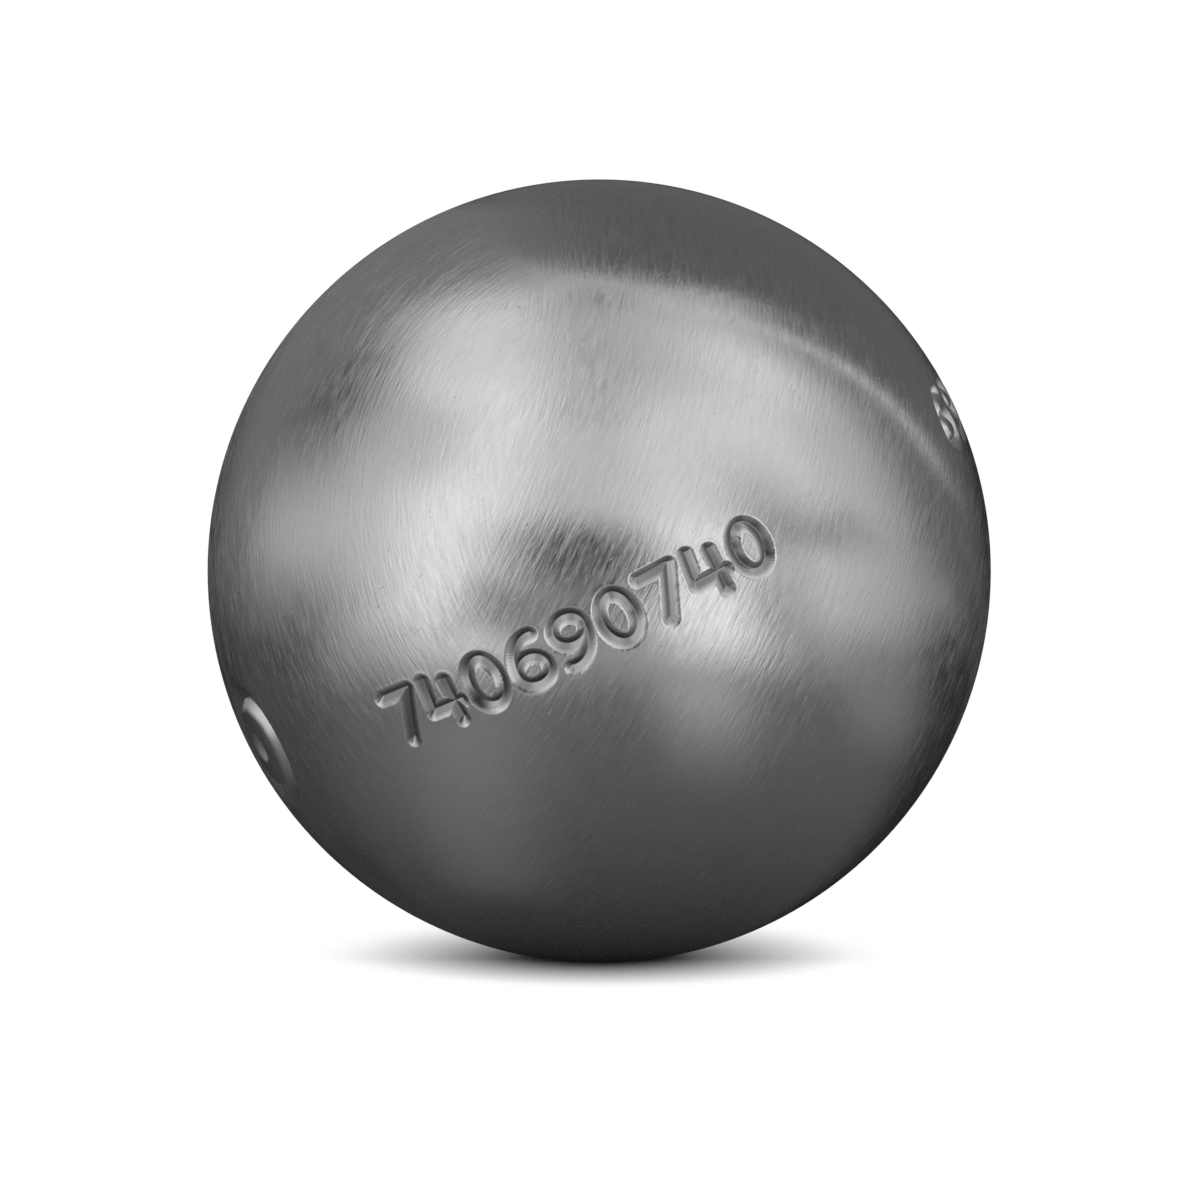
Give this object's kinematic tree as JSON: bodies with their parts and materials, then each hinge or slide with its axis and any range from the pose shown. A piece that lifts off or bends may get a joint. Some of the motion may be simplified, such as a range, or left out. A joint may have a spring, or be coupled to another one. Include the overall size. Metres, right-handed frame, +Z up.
{
  "type": "petanque boule",
  "caption": "Hollow steel petanque ball: forged half shells centred on a lip, welded round the seam and ground to one smooth sphere.",
  "frame": {"origin": "centre of the ball", "axes": "+Z up, square to the seam, with the upper shell above it; -Y is the side whose struck figures face the front as the ball lies"},
  "size_m": [0.074, 0.074, 0.074],
  "materials": {
    "shell_steel": "satin steel with fine turned and brushed lines",
    "weld_steel": "the same satin finish, ground flush with the shells"
  },
  "bodies": {
    "root": {"upper_shell": "shell_steel", "lower_shell": "shell_steel", "weld_bead": "weld_steel"}
  },
  "joints": []
}
